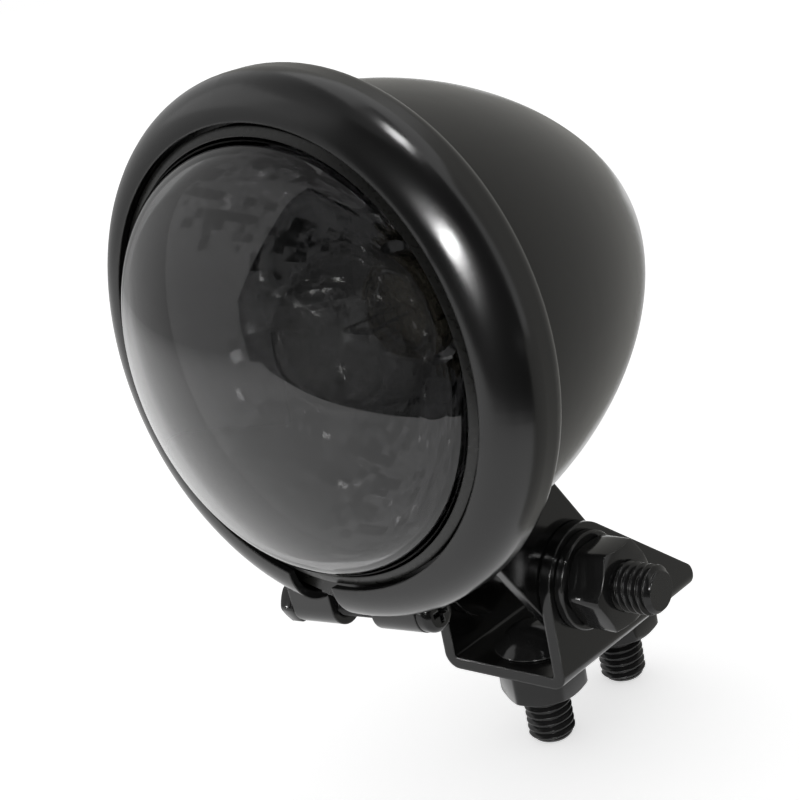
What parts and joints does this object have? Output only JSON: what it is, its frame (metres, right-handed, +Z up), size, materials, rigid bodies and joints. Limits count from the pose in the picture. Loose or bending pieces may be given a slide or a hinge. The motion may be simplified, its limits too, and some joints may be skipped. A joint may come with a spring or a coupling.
{
  "type": "motorcycle tail light",
  "caption": "Bullet-shaped black motorcycle tail light with a domed smoke lens in a split clamp bezel, tilting on a folded bracket with mounting studs.",
  "frame": {"origin": "midway between the two mounting studs, in the plane of the undersides of the stud nuts", "axes": "+X right as seen looking at the lens from the front, +Y towards the back of the lamp (the lens faces -Y), +Z up"},
  "size_m": [0.08, 0.0858, 0.1205],
  "materials": {
    "black_paint": "gloss black",
    "black_hardware": "black oxide, half gloss",
    "smoke_lens": "clear gloss, dark smoke",
    "black_rubber": "matte",
    "mirror_facets": "bright metallised facets",
    "brass_socket": "plain",
    "insulating_plastic": "matte brown",
    "spring_steel": "plain",
    "bulb_glass": "clear"
  },
  "bodies": {
    "bracket": {"base_bracket": "black_paint", "pivot_bolt": "black_hardware", "pivot_head_washer": "black_hardware", "pivot_nut_washer": "black_hardware", "pivot_nut": "black_hardware", "front_stud_bolt": "black_hardware", "rear_stud_bolt": "black_hardware", "front_stud_nut": "black_hardware", "rear_stud_nut": "black_hardware"},
    "lamp": {"housing_shell": "black_paint", "bezel_ring": "black_paint", "bezel_clamp_screw": "black_hardware", "bezel_clamp_nut": "black_hardware", "lens": "smoke_lens", "lens_gasket": "black_rubber", "lens_seal": "black_rubber", "reflector": "mirror_facets", "socket_barrel": "brass_socket", "socket_insulator": "insulating_plastic", "contact_pins": "brass_socket", "contact_spring": "spring_steel", "bulb": "bulb_glass", "wire_grommet": "black_rubber", "neck_bracket": "black_paint", "neck_rivets": "black_hardware"}
  },
  "joints": [
    {"name": "lamp_tilt", "type": "hinge", "parent": "bracket", "child": "lamp", "pos_m": [0, -0.011, 0.022], "axis": [1, 0, 0], "range_deg": [-25, 25]}
  ]
}
